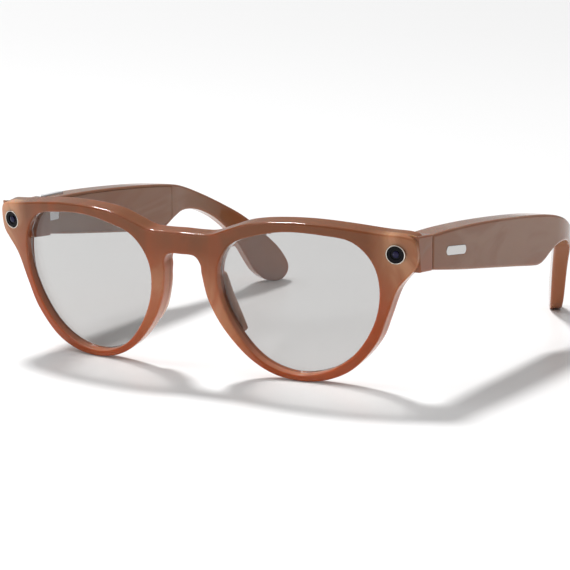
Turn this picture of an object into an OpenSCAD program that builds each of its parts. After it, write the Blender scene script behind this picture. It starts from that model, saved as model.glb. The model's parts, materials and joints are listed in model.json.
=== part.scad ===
// Smart glasses: two-shell front, folding temples with electronics inside.
// Millimetres. +Z up, the lenses face -Y, +X is the wearer's left.

/* [Front] */
// Forward lean of the front's top edge, degrees
front_tilt = 9.75; // [9:0.25:10.5]
// Front-to-back thickness of the front
front_t = 5.6; // [5.4:0.1:6]
// Depth of the joint between the front's two shells, from its front face
seam_depth = 3.2; // [3:0.1:3.4]
// Width of the front across its end pieces
front_w = 138.4; // [138:0.2:139]
// Depth that the lens groove reaches into the rim
groove_reach = 0.8; // [0.6:0.1:0.9]
// Thickness of each lens
lens_t = 2; // [1.8:0.1:2.2]

/* [Camera and light] */
// Distance of each round window from the centre plane
eye_x = 63.7; // [63.4:0.1:64]
// Height of each round window
eye_z = 38.35; // [38:0.1:38.6]
// Outward turn of the windows, degrees
eye_toe = 11; // [9:1:13]
// Outer diameter of the chrome rings
bezel_d = 5.5; // [5.3:0.1:5.7]
// Diameter of the dark windows
window_d = 4.6; // [4.4:0.1:4.7]

/* [Temples] */
// Thickness of the temple at the hinge
temple_t = 7.7; // [7.6:0.1:7.8]
// Radius of the inward bend behind the ear
bend_r = 51; // [48:1:54]
// Angle of the inward bend, degrees
bend_angle = 30.6; // [29:0.1:31]
// How far each open temple stands out from straight back
splay = 1.3; // [0:0.1:1.5]
// Gap between the end piece and the temple
hinge_gap = 0.4; // [0.35:0.05:0.5]
// Thickness of the temple's inner cover
cover_t = 1.2; // [1.1:0.1:1.3]
// Thickness of the temple's outer wall over the electronics
wall_t = 1.5; // [1.4:0.1:1.6]

/* [Hinge] */
// Outer radius of the hinge barrels
barrel_r = 1.7; // [1.6:0.05:1.75]
// Radius of the hinge pin
pin_r = 0.7; // [0.6:0.05:0.75]
// Radial running clearance of the pin
pin_clear = 0.05; // [0.03:0.01:0.08]

/* [Buttons] */
// Length of the capture button
button_l = 12; // [11:0.5:12]
// Width of the capture button
button_w = 2; // [1.8:0.1:2.2]
// Press travel of the capture button
button_travel = 0.4; // [0.3:0.05:0.45]
// Slide travel of the power switch
switch_travel = 2; // [1.8:0.1:2]

/* [Hidden] */

// The model is centred front to back on its own box
depth_mid = 72.22;
// Height about which the front leans
lean_z = 25;
// Front curve in plan: depth = wrap_a * x^2 + wrap_b * x^4
wrap_a = 1.44e-3;
wrap_b = 1.58e-7;
// Small working clearance between bonded or screwed pieces
snug = 0.04;
eps = 0.01;

// Half outline of the front, from the bridge's top round to its underside: x, z
brow_line = [
    [0, 40.5], [6, 40.4], [10.5, 40.7], [16, 42.6], [22, 44.5], [30, 45.5], [40, 45.7], [50, 45],
    [60, 43.8], [66, 43.2], [68.4, 42]
];
end_line = [[69.1, 39], [68.9, 35.8], [68.1, 33.9]];
rim_line = [
    [66.7, 32.3], [63.1, 27.8], [60, 19.9], [56.6, 12.3], [50, 4.9], [42.5, 1.1], [34.4, 0], [26, 1.4],
    [18.4, 5.8], [11.6, 13.4], [7.6, 21.2], [6.2, 28.5], [6, 31.6], [4.2, 33.9], [0, 34.1]
];
half_outline = concat(brow_line, end_line, rim_line);
// Lens opening: x, z
opening = [
    [58.5, 26.5], [57.4, 35], [52.2, 41], [43.5, 42.6], [33.6, 42.9], [25, 41.4], [16.4, 38.2],
    [11.6, 31.2], [11.6, 22.4], [15.4, 13.4], [22.4, 5.4], [31.8, 1.9], [41.6, 3.3], [50, 8.6], [56, 17.2]
];
lens_mid = [36.5, 26];
// Middle of the cable channel above the lenses: x, z
cable_line = [
    [60, 40.2], [57.5, 41.9], [54, 43], [48, 44.1], [40, 44.6], [33, 44.5], [27, 43.7], [20, 42.4],
    [15, 40.4], [10, 38.6], [5, 37.9], [0, 37.8]
];
cable_w = 0.8;
cable_t = 0.3;

// Temple side view: top and lower edges, y then z
top_edge = [
    [18, 42.5], [30, 42.6], [45, 42.2], [60, 41.4], [75, 40.3], [88, 39.1], [98, 37.7], [106, 35.8],
    [113, 33.4], [119, 30.9], [125.5, 27.5], [132, 23], [138.1, 17.3], [143.2, 12], [146.4, 6.7]
];
tip_end = [[146.8, 3.5], [145.2, 0.9], [142.4, 0]];
low_edge = [
    [18, 32.7], [35, 30.3], [55, 27.8], [72, 25.7], [83, 24.3], [88, 24], [91.8, 25], [96.5, 27],
    [102, 28.5], [108.5, 28.4], [114.4, 27], [120, 24.3], [124.5, 20.6], [127.8, 16.6], [130.4, 12.4],
    [132.7, 8.1], [135.2, 4], [138.6, 1]
];
// Middle of the steel core in side view: y, z
core_line = [
    [98.5, 32.6], [104.5, 32.4], [110.8, 31.3], [117, 28.9], [122.6, 25.3], [127.8, 20.7], [132.2, 15.5],
    [136.2, 10.3], [139.2, 6.3]
];
core_w = 2;
core_t = 1.1;

// Temple plan: straight, then an arc, then straight to the tip
temple_x = front_w / 2;
seam_y = 17.7;
temple_y = seam_y + hinge_gap;
bend_y = 99;
bend_s = bend_y - temple_y;
bend_end_s = bend_s + bend_r * bend_angle * PI / 180;
tip_s = bend_end_s + 27;
tip_t = 3.4;
bend_t = 6.6;
bend_end_t = 5.1;

// Hinge axis and barrel heights
hinge_x = temple_x - temple_t - 0.3;
hinge_y = seam_y + hinge_gap / 2;
hinge_low = 34.9;
hinge_high = 41.5;
barrel_gap = 0.1;
mid_barrel_h = 2.4;
hinge_mid = (hinge_low + hinge_high) / 2;
hinge_relief = barrel_r + 0.3;
leaf_t = 1.2;
screw_r = 0.55;
screw_head_r = 1;
screw_head_h = 0.5;

// Electronics bay inside the temples
bay_y0 = 22.5;
bay_y1 = 93;
bay_inset = 1.6;
cover_y0 = 29;
cover_y1 = 94.5;
cover_inset = 0.8;
bay_slope = -5.4;
bay_mid_y = 58;
bay_mid_z = 34.3;

// Capture button, power switch and status light
button_y = 29;
button_x = 66.15;
button_top = 43.1;
button_flange_z = 40;
button_flange_h = 0.5;
switch_y = 34.4;
switch_z = 36.6;
switch_w = 1.8;
switch_l = 2.6;
status_y = 33;
status_z = 38.6;

// Plain metal plaque let into each temple's outer face
inlay_y = 32;
inlay_z = 36.4;
inlay_l = 12;
inlay_h = 2.6;
inlay_depth = 0.45;
inlay_proud = 0.1;

// Sound slots and microphone port in the temple's underside
slot_y = 78.5;
slot_pitch = 2.4;
slot_count = 4;
mic_x = 66;
mic_y = 31.5;
mic_z = 33.2;

caramel = [0.66, 0.38, 0.25];
caramel_dark = [0.5, 0.33, 0.27];
steel = [0.75, 0.76, 0.78];
dark = [0.05, 0.05, 0.07];

// ---------- shared functions ----------

function blend_point(a, b, c, d, t) =
    0.5 * (2 * b + (c - a) * t + (2 * a - 5 * b + 4 * c - d) * t * t + (3 * b - a - 3 * c + d) * t * t * t);

// Smooth closed curve through the points p, n steps between neighbours
function loop_curve(p, n = 4) = [
    for (i = [0:len(p) - 1], k = [0:n - 1])
        blend_point(p[(i + len(p) - 1) % len(p)], p[i], p[(i + 1) % len(p)], p[(i + 2) % len(p)], k / n)
];

// Smooth open curve through the points p
function open_curve(p, n = 3) = concat(
    [for (i = [0:len(p) - 2], k = [0:n - 1])
        blend_point(p[max(i - 1, 0)], p[i], p[i + 1], p[min(i + 2, len(p) - 1)], k / n)],
    [p[len(p) - 1]]
);

// Band of width w along the points p
function band(p, w) = let (
    n = len(p),
    side = [for (i = [0:n - 1]) let (
        d = p[min(i + 1, n - 1)] - p[max(i - 1, 0)]) [-d.y, d.x] / norm(d) * w / 2]
) concat([for (i = [0:n - 1]) p[i] + side[i]], [for (i = [n - 1:-1:0]) p[i] - side[i]]);

function sag(x) = wrap_a * x * x + wrap_b * pow(x, 4);
function sag_lean(x) = sag(x) * cos(front_tilt);

// Height on the leaning front plane of a point x, z of the front face
function leaning(p) = [p.x, (p.y - lean_z) / cos(front_tilt) - sag(p.x) * tan(front_tilt)];

// Lens outline grown outwards by d
function lens_outline(d = 0) = [
    for (p = loop_curve(opening)) let (r = p - lens_mid) leaning(p + r / norm(r) * d)
];

function front_outline() = let (
    half = open_curve(half_outline),
    n = len(half)
) concat([for (p = half) leaning(p)], [for (i = [n - 2:-1:1]) leaning([-half[i].x, half[i].y])]);

// Heading, place and thickness of the temple at length s from the hinge end
function heading(s) = s < bend_s ? 0 : min((s - bend_s) / bend_r * 180 / PI, bend_angle);
function outer_at(s) =
    s < bend_s ? [temple_x, temple_y + s] :
    s < bend_end_s ? [temple_x - bend_r * (1 - cos(heading(s))), bend_y + bend_r * sin(heading(s))] :
    [temple_x - bend_r * (1 - cos(bend_angle)) - (s - bend_end_s) * sin(bend_angle),
     bend_y + bend_r * sin(bend_angle) + (s - bend_end_s) * cos(bend_angle)];
function thick_at(s) = lookup(s, [[0, temple_t], [bend_s, bend_t], [bend_end_s, bend_end_t], [tip_s, tip_t]]);
function inside_at(s, d) = outer_at(s) - d * [cos(heading(s)), sin(heading(s))];

temple_steps = concat([0, bend_s / 2], [for (k = [0:8]) bend_s + k * (bend_end_s - bend_s) / 8],
    [(bend_end_s + tip_s) / 2, tip_s]);

// ---------- shared modules ----------

module placed() translate([0, -depth_mid, 0]) children();

// Frame of the leaning front: x across, y back, z up the front
module on_front() placed() translate([0, 0, lean_z]) rotate([front_tilt, 0, 0]) children();

// 2D shape of the front (x, height) made a slab between two depths
module slab(d0, d1) translate([0, d1, 0]) rotate([90, 0, 0]) linear_extrude(d1 - d0) children();

// Curved shell that follows the front face, between two depths behind it
module wrap(d0, d1, half = 72) {
    xs = [for (k = [-24:24]) k * half / 24];
    translate([0, 0, -40]) linear_extrude(80)
        polygon(concat([for (x = xs) [x, sag_lean(x) + d0]],
            [for (k = [len(xs) - 1:-1:0]) [xs[k], sag_lean(xs[k]) + d1]]));
}

// 2D shape of a side view (y, z) made a block between two x
module side(x0, x1) translate([x0, 0, 0]) rotate([90, 0, 90]) linear_extrude(x1 - x0) children();

module on_side(s) if (s < 0) mirror([1, 0, 0]) children(); else children();

// Frame of an open temple, turned out about its hinge
module on_temple(s) on_side(s) placed() translate([hinge_x, hinge_y, 0]) rotate([0, 0, -splay])
    translate([-hinge_x, -hinge_y, 0]) children();

// Frame at a round window: z points out of the window
module at_eye(s) on_front()
    translate([s * eye_x, sag_lean(eye_x), leaning([eye_x, eye_z]).y])
        rotate([0, 0, s * eye_toe]) rotate([90, 0, 0]) children();

// Plan strip of the temple between two distances from its inner face
module plan_strip(d0, d1, s0 = 0, s1 = tip_s) {
    ss = [for (s = temple_steps) if (s >= s0 - eps && s <= s1 + eps) s];
    linear_extrude(48)
        polygon(concat([for (s = ss) inside_at(s, thick_at(s) - d1)],
            [for (k = [len(ss) - 1:-1:0]) inside_at(ss[k], thick_at(ss[k]) - d0)]));
}

// Plan outline of the whole temple
module plan_whole() translate([0, 0, -1]) linear_extrude(48)
    polygon(concat([for (s = temple_steps) outer_at(s)],
        [for (k = [len(temple_steps) - 1:-1:0]) inside_at(temple_steps[k], thick_at(temple_steps[k]))]));

// Side-view polygon of the temple's bay, inset from its edges
module bay_side(y0, y1, inset) {
    ys = [for (k = [0:8]) y0 + k * (y1 - y0) / 8];
    side(50, 72) polygon(concat([for (y = ys) [y, lookup(y, top_edge) - inset]],
        [for (k = [8:-1:0]) [ys[k], lookup(ys[k], low_edge) + inset]]));
}

module barrel(z0, h, r) translate([hinge_x, hinge_y, z0]) cylinder(h = h, r = r, $fn = 48);

function bay_z(y) = bay_mid_z + (y - bay_mid_y) * tan(bay_slope);

// Box in a temple bay, centred at y and lying on the bay's slope, raised by lift
module bay_box(s, size, x0, y, lift = 0) on_temple(s)
    translate([x0 + size.x / 2, y, bay_z(y) + lift]) rotate([bay_slope, 0, 0]) cube(size, center = true);

// ---------- front ----------

module lens_openings(d = 0) for (s = [0, 1]) mirror([s, 0, 0]) polygon(lens_outline(d));

module lens_grooves() intersection() {
    slab(-2, 24) lens_openings(groove_reach + snug);
    wrap(seam_depth - lens_t / 2 - snug, seam_depth + lens_t / 2 + snug);
}

// Block behind each end of the front that carries the camera or light and the hinge
module end_block(s) on_side(s) placed() difference() {
    linear_extrude(46) polygon([
        [55.5, 8], [60, 4], [temple_x, 7.6], [temple_x, seam_y], [57.2, seam_y], [55.5, 14.5]
    ]);
    side(50, 72) polygon([[0, 43.6], [8, 43.25], [temple_y, 42.7], [30, 47], [0, 47]]);
    side(50, 72) polygon([[0, 0], [0, 33.3], [8, 33.3], [temple_y, 32.6], [30, 0]]);
}

module eye_bores() for (s = [-1, 1]) at_eye(s) {
    translate([0, 0, -1.5]) cylinder(h = 4, r = bezel_d / 2 + snug, $fn = 64);
    translate([0, 0, -5]) cylinder(h = 5, r = 2, $fn = 48);
    translate([-3, -3, -8]) cube([6, 6, 3.6]);
}

// Room for the hinge's front leaf and its turning barrels
module hinge_pocket(s) on_side(s) placed() {
    barrel(hinge_low - 0.2, hinge_high - hinge_low + 0.4, hinge_relief);
    translate([57.6 - snug, seam_y - leaf_t - snug, hinge_low - snug])
        cube([4, leaf_t + 1, hinge_high - hinge_low + 2 * snug]);
    for (z = [hinge_low + 1.4, hinge_high - 1.4])
        translate([59, seam_y - leaf_t, z]) rotate([90, 0, 0]) cylinder(h = 2.6, r = screw_r + snug, $fn = 32);
}

module front_shell() color(caramel) difference() {
    on_front() intersection() {
        slab(-2, 24) polygon(front_outline());
        wrap(0, seam_depth);
    }
    on_front() slab(-2, 24) lens_openings();
    on_front() lens_grooves();
    eye_bores();
}

module rear_shell() color(caramel_dark) difference() {
    union() {
        on_front() intersection() {
            slab(-2, 24) polygon(front_outline());
            wrap(seam_depth, front_t);
        }
        intersection() {
            union() {
                end_block(1);
                end_block(-1);
            }
            on_front() wrap(seam_depth, 24);
        }
    }
    on_front() slab(-2, 24) lens_openings();
    on_front() lens_grooves();
    eye_bores();
    on_front() cable_band(cable_w + 0.2, seam_depth - 1, seam_depth + cable_t + 0.1);
    on_front() translate([-1.4, seam_depth - 1, leaning([0, 39.9]).y - 1.2]) cube([2.8, 2.2, 1.6]);
    on_front() translate([-4.2, front_t - 0.3, contact_v - 1.3]) cube([8.4, 3, 2.6]);
    on_front() contact_pins(0.6 + snug, seam_depth - 1, front_t);
    hinge_pocket(1);
    hinge_pocket(-1);
}

module left_lens() color([0.8, 0.8, 0.8, 0.4]) lens_blank();
module right_lens() color([0.8, 0.8, 0.8, 0.4]) mirror([1, 0, 0]) lens_blank();

module lens_blank() on_front() intersection() {
    slab(-2, 24) polygon(lens_outline(groove_reach));
    wrap(seam_depth - lens_t / 2, seam_depth + lens_t / 2);
}

// Soft pad on the back of the nose side of the rim
module nose_pad(s) on_side(s) on_front() intersection() {
    hull() for (p = [[9.2, 27, 1.5], [10.2, 22.5, 2.3], [12.6, 16.6, 2.4], [15, 13, 1.7]])
        translate([p.x, front_t + 1, leaning([p.x, p.y]).y]) scale([1, 1, 1]) sphere(r = p.z, $fn = 28);
    wrap(front_t + 0.02, front_t + 9);
}

module left_nose_pad() color([0.78, 0.7, 0.66]) nose_pad(1);
module right_nose_pad() color([0.78, 0.7, 0.66]) nose_pad(-1);

module bezel(s) at_eye(s) translate([0, 0, -1.5]) difference() {
    cylinder(h = 2, r = bezel_d / 2, $fn = 64);
    translate([0, 0, -1]) cylinder(h = 4, r = window_d / 2 + snug, $fn = 64);
}

module window(s) at_eye(s) translate([0, 0, -1]) cylinder(h = 1.2, r = window_d / 2, $fn = 64);

module camera_bezel() color(steel) bezel(1);
module light_bezel() color(steel) bezel(-1);
module camera_window() color(dark) window(1);
module light_window() color(dark) window(-1);

module camera_module() color([0.15, 0.15, 0.16]) at_eye(1) {
    translate([0, 0, -4.6]) cylinder(h = 3.4, r = 1.9, $fn = 48);
    translate([-2.9, -2.9, -7.6]) cube([5.8, 5.8, 3]);
}

module capture_light() color([0.9, 0.9, 0.8]) at_eye(-1) {
    translate([0, 0, -4.6]) cylinder(h = 3.3, r = 1.5, $fn = 48);
    translate([-2.9, -2.9, -5.4]) cube([5.8, 5.8, 0.8]);
}

module cable_band(w, d0, d1) {
    half = [for (p = open_curve(cable_line)) leaning(p)];
    n = len(half);
    path = concat(half, [for (i = [n - 2:-1:0]) [-half[i].x, half[i].y]]);
    intersection() {
        slab(-2, 24) polygon(band(path, w));
        wrap(d0, d1);
    }
}

module front_flex() color([0.8, 0.5, 0.15]) on_front() cable_band(cable_w, seam_depth + 0.02, seam_depth + cable_t);

module bridge_microphone() color([0.7, 0.7, 0.72]) on_front()
    translate([-1.2, seam_depth + 0.05, leaning([0, 39.9]).y - 1]) cube([2.4, 1, 1.4]);

// Pair of contacts on the back of the bridge
contact_v = leaning([0, 36]).y;
module contact_pins(r, d0, d1) for (x = [-2.2, 2.2])
    translate([x, d1, contact_v]) rotate([90, 0, 0]) cylinder(h = d1 - d0, r = r, $fn = 40);

module charging_contacts() color([0.85, 0.7, 0.35]) on_front() contact_pins(0.6, seam_depth + 0.1, front_t - 0.15);

// ---------- hinges ----------

module pin_bore() barrel(hinge_low - 1, hinge_high - hinge_low + 2, pin_r + pin_clear);

module front_leaf(s) on_side(s) placed() difference() {
    union() {
        barrel(hinge_low, hinge_high - hinge_low, barrel_r);
        translate([57.6, seam_y - leaf_t, hinge_low]) cube([3.8, leaf_t, hinge_high - hinge_low]);
    }
    pin_bore();
    barrel(hinge_mid - mid_barrel_h / 2, mid_barrel_h, hinge_relief);
    for (z = [hinge_low + 1.4, hinge_high - 1.4]) translate([59, seam_y, z]) rotate([90, 0, 0]) {
        translate([0, 0, -1]) cylinder(h = 3, r = screw_r + snug, $fn = 32);
        translate([0, 0, -1]) cylinder(h = 1 + screw_head_h + snug, r = screw_head_r + snug, $fn = 32);
    }
}

module left_front_hinge_leaf() color(steel) front_leaf(1);
module right_front_hinge_leaf() color(steel) front_leaf(-1);

module screw(l) difference() {
    union() {
        cylinder(h = screw_head_h, r = screw_head_r, $fn = 32);
        cylinder(h = l, r = screw_r, $fn = 32);
    }
    translate([-0.7, -0.12, -0.1]) cube([1.4, 0.24, 0.35]);
}

module front_screws(s) on_side(s) placed() for (z = [hinge_low + 1.4, hinge_high - 1.4])
    translate([59, seam_y, z]) rotate([90, 0, 0]) screw(leaf_t + 2.4);

module left_front_hinge_screws() color(steel) front_screws(1);
module right_front_hinge_screws() color(steel) front_screws(-1);

module hinge_pin(s) on_side(s) placed() barrel(hinge_low, hinge_high - hinge_low, pin_r);

module left_hinge_pin() color(steel) hinge_pin(1);
module right_hinge_pin() color(steel) hinge_pin(-1);

temple_leaf_y0 = hinge_y + hinge_relief + 0.1;
temple_leaf_l = 8;
module temple_leaf(s) on_temple(s) difference() {
    union() {
        barrel(hinge_mid - mid_barrel_h / 2 + barrel_gap, mid_barrel_h - 2 * barrel_gap, barrel_r);
        translate([hinge_x, hinge_y, hinge_mid - mid_barrel_h / 2 + barrel_gap])
            cube([1.5, 4, mid_barrel_h - 2 * barrel_gap]);
        translate([hinge_x + 0.4, temple_leaf_y0, hinge_mid - 2.2]) cube([leaf_t, temple_leaf_l, 4.4]);
    }
    pin_bore();
    for (y = [3.2, 6.4]) translate([hinge_x, temple_leaf_y0 + y, hinge_mid]) rotate([0, 90, 0]) {
        cylinder(h = 4, r = screw_r + snug, $fn = 32);
        cylinder(h = 0.4 + screw_head_h + snug, r = screw_head_r + snug, $fn = 32);
    }
}

module left_temple_hinge_leaf() color(steel) temple_leaf(1);
module right_temple_hinge_leaf() color(steel) temple_leaf(-1);

module temple_screws(s) on_temple(s) for (y = [3.2, 6.4])
    translate([hinge_x + 0.4, temple_leaf_y0 + y, hinge_mid]) rotate([0, 90, 0]) screw(leaf_t + 1.4);

module left_temple_hinge_screws() color(steel) temple_screws(1);
module right_temple_hinge_screws() color(steel) temple_screws(-1);

// ---------- temples ----------

module temple_body() intersection() {
    plan_whole();
    side(30, 72) polygon(concat(top_edge, tip_end, [for (i = [len(low_edge) - 1:-1:0]) low_edge[i]]));
}

module core(extra = 0) intersection() {
    linear_extrude(48) polygon(concat(
        [for (s = core_steps) inside_at(s, thick_at(s) / 2 - core_t / 2 - extra)],
        [for (k = [len(core_steps) - 1:-1:0])
            inside_at(core_steps[k], thick_at(core_steps[k]) / 2 + core_t / 2 + extra)]));
    side(30, 72) polygon(band(open_curve(core_line, 2), core_w + 2 * extra));
}
core_steps = [for (k = [0:12]) bend_s - 4 + k * (tip_s - bend_s) / 12];

module inlay_bar(grow, x0, x1) translate([0, inlay_y, inlay_z]) rotate([bay_slope, 0, 0]) {
    straight = inlay_l - inlay_h;
    for (y = [-straight / 2, straight / 2]) translate([x0, y, 0]) rotate([0, 90, 0])
        cylinder(h = x1 - x0, r = inlay_h / 2 + grow, $fn = 48);
    translate([x0, -straight / 2, -inlay_h / 2 - grow]) cube([x1 - x0, straight, inlay_h + 2 * grow]);
}

module speaker_slots() for (k = [0:slot_count - 1])
    translate([64.6, slot_y + slot_pitch * k, 20]) cube([2.2, 1.2, 8]);

// Recess of the hinge leaf and its screws in the temple's inner face
module leaf_recess() {
    barrel(hinge_low - 0.3, hinge_high - hinge_low + 0.6, hinge_relief);
    translate([hinge_x - 1, hinge_y - 1, hinge_mid - mid_barrel_h / 2]) cube([2.6, 5.1, mid_barrel_h]);
    translate([hinge_x, temple_leaf_y0 - snug, hinge_mid - 2.2 - snug])
        cube([0.4 + leaf_t + snug, temple_leaf_l + 2 * snug, 4.4 + 2 * snug]);
    for (y = [3.2, 6.4]) translate([hinge_x, temple_leaf_y0 + y, hinge_mid]) rotate([0, 90, 0])
        cylinder(h = 3.2, r = screw_r + snug, $fn = 32);
}

module temple_shell_shape() difference() {
    temple_body();
    intersection() {
        plan_strip(-1, cover_t + snug);
        bay_side(cover_y0 - snug, cover_y1 + snug, cover_inset);
    }
    intersection() {
        plan_strip(cover_t, 3.2);
        bay_side(cover_y0 + 2, bay_y1, bay_inset);
    }
    intersection() {
        side(60, temple_x - wall_t) square([200, 60]);
        plan_strip(3, 8);
        bay_side(bay_y0, bay_y1, bay_inset);
    }
    leaf_recess();
    core(0.05);
    inlay_bar(0.03, temple_x - inlay_depth, temple_x + 1);
    speaker_slots();
    translate([mic_x, mic_y, 20]) cylinder(h = 13, r = 0.45, $fn = 32);
}

module cover_shape() intersection() {
    plan_strip(0, cover_t);
    bay_side(cover_y0, cover_y1, cover_inset + snug);
}

module left_temple_shell() color(caramel_dark) on_temple(1) temple_shell_shape();

module right_temple_shell() color(caramel_dark) on_temple(-1) difference() {
    temple_shell_shape();
    translate([button_x - button_w / 2 - 0.15, button_y - button_l / 2 - 0.15, button_flange_z])
        cube([button_w + 0.3, button_l + 0.3, 6]);
}

module left_temple_cover() color(caramel_dark) on_temple(1) difference() {
    cover_shape();
    translate([58, switch_y - switch_l / 2 - 0.2, switch_z - switch_w / 2 - 0.2])
        cube([8, switch_l + switch_travel + 0.4, switch_w + 0.4]);
}

module right_temple_cover() color(caramel_dark) on_temple(-1) difference() {
    cover_shape();
    translate([58, status_y, status_z]) rotate([0, 90, 0]) cylinder(h = 8, r = 0.6 + snug, $fn = 32);
}

module left_core_wire() color(steel) on_temple(1) core();
module right_core_wire() color(steel) on_temple(-1) core();

module inlay(s) on_temple(s) inlay_bar(0, temple_x - inlay_depth + 0.02, temple_x + inlay_proud);
module left_inlay() color(steel) inlay(1);
module right_inlay() color(steel) inlay(-1);

// ---------- electronics ----------

module speaker(s) {
    bay_box(s, [3.2, 12, 6.6], 64.1, 83.4, -1);
    bay_box(s, [0.5, 8, 4.4], 67.1, 83.4, -1);
}
module left_speaker() color(dark) speaker(1);
module right_speaker() color(dark) speaker(-1);

module speaker_mesh(s) bay_box(s, [2.8, 9.6, 0.2], 64.4, 82.4, -5.1);
module left_speaker_mesh() color([0.3, 0.3, 0.3]) speaker_mesh(1);
module right_speaker_mesh() color([0.3, 0.3, 0.3]) speaker_mesh(-1);

module microphone(s) on_temple(s) translate([mic_x - 1.2, mic_y - 1.5, mic_z - 0.4]) cube([2.4, 3, 0.9]);
module left_microphone() color([0.7, 0.7, 0.72]) microphone(1);
module right_microphone() color([0.7, 0.7, 0.72]) microphone(-1);

module temple_flex(s) bay_box(s, [0.25, 10.5, 2], 67.1, 29, -0.6);
module left_temple_flex() color([0.8, 0.5, 0.15]) temple_flex(1);
module right_temple_flex() color([0.8, 0.5, 0.15]) temple_flex(-1);

module battery() color([0.2, 0.3, 0.55]) bay_box(1, [3.4, 36, 7.4], 64, 58.8);

module switch_board() color([0.1, 0.35, 0.2]) on_temple(1) {
    translate([64.1, 32.2, 34.2]) cube([0.8, 8, 5]);
    translate([64.88, 33.2, 35.2]) cube([1.3, 5, 3]);
}

module power_switch() color(dark) on_temple(1) {
    y = switch_y - switch_l / 2;
    translate([61.25, y, switch_z - switch_w / 2]) cube([2.1, switch_l, switch_w]);
    translate([63.2, y - 0.6, switch_z - switch_w / 2 - 0.7]) cube([0.6, switch_l + 1.2, switch_w + 1.4]);
}

module main_board() color([0.1, 0.35, 0.2]) {
    bay_box(-1, [0.8, 40, 7.4], 64.2, 57);
    for (k = [0:2]) bay_box(-1, [0.9, 3.6, 3], 64.98, 63.5 + 4.8 * k);
}

module shield_can() color(steel) bay_box(-1, [1.4, 20, 6.4], 65.02, 49.5);

module touch_sensor() color([0.8, 0.5, 0.15]) bay_box(-1, [0.2, 34, 6], 67.3, 56);

module antenna() color([0.8, 0.6, 0.3]) bay_box(-1, [1.6, 22, 0.25], 65.4, 64, 5.1);

module capture_button() color(steel) on_temple(-1) {
    translate([button_x - button_w / 2, button_y - button_l / 2, button_flange_z])
        cube([button_w, button_l, button_top - button_flange_z]);
    translate([button_x - button_w / 2 - 0.4, button_y - button_l / 2 - 0.4, button_flange_z])
        cube([button_w + 0.8, button_l + 0.8, button_flange_h]);
}

module button_dome() color([0.2, 0.2, 0.2]) on_temple(-1) {
    translate([64.8, button_y - 2.5, 38.1]) cube([2.85, 5, 0.9]);
    translate([button_x, button_y, 38.98]) cylinder(h = button_flange_z - button_travel - 39.03, r = 1, $fn = 32);
}

module status_light() color([0.9, 0.95, 0.9]) on_temple(-1)
    translate([61.72, status_y, status_z]) rotate([0, 90, 0]) cylinder(h = 2.1, r = 0.6, $fn = 32);

front_shell();
rear_shell();
left_lens();
right_lens();
left_nose_pad();
right_nose_pad();
camera_bezel();
camera_window();
camera_module();
light_bezel();
light_window();
capture_light();
front_flex();
bridge_microphone();
charging_contacts();
left_front_hinge_leaf();
right_front_hinge_leaf();
left_hinge_pin();
right_hinge_pin();
left_front_hinge_screws();
right_front_hinge_screws();
left_temple_shell();
left_temple_cover();
left_temple_hinge_leaf();
left_temple_hinge_screws();
left_core_wire();
left_inlay();
battery();
left_speaker();
left_speaker_mesh();
left_microphone();
left_temple_flex();
power_switch();
switch_board();
right_temple_shell();
right_temple_cover();
right_temple_hinge_leaf();
right_temple_hinge_screws();
right_core_wire();
right_inlay();
main_board();
shield_can();
touch_sensor();
antenna();
right_speaker();
right_speaker_mesh();
right_microphone();
right_temple_flex();
capture_button();
button_dome();
status_light();
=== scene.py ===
"""Smart glasses in cast caramel plastic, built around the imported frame."""

import json
import math

import bmesh
import bpy
from bpy.props import FloatProperty, FloatVectorProperty, PointerProperty
from mathutils import Matrix, Vector

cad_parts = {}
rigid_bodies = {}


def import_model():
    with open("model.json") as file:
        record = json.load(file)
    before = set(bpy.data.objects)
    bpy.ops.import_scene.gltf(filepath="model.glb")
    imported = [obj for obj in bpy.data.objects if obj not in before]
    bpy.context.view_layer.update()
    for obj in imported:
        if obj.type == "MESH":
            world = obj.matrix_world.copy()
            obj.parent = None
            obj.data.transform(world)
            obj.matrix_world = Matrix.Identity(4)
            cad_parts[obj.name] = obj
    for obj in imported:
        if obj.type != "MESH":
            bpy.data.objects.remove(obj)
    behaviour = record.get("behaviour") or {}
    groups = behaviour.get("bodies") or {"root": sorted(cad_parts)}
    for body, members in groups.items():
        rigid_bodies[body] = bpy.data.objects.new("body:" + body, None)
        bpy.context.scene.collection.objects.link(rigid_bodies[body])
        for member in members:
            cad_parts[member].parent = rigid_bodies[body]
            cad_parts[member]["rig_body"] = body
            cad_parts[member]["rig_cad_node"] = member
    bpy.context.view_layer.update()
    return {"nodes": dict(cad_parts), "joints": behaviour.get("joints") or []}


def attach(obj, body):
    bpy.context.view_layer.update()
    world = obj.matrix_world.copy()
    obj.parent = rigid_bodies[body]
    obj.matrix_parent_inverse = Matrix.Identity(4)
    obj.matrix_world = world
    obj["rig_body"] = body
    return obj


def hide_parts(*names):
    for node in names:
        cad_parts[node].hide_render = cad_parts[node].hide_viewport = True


bl_info = {
    "name": "Smart glasses",
    "version": (1, 0, 0),
    "blender": (4, 5, 0),
    "location": "View3D > Sidebar > Glasses",
    "description": "Builds a pair of smart glasses and a plain stage around the packed frame",
    "category": "Object",
}

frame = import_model()

MM = 0.001
FOLD = {j["name"]: j for j in frame["joints"]}["left_fold"]["pos_m"]
HINGE_X, HINGE_Y, HINGE_Z, BARREL_R = FOLD[0] / MM, 17.9, FOLD[2] / MM, 2.0
DEPTH_MID = HINGE_Y - FOLD[1] / MM
SIDES = {"left": 1, "right": -1}

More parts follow.
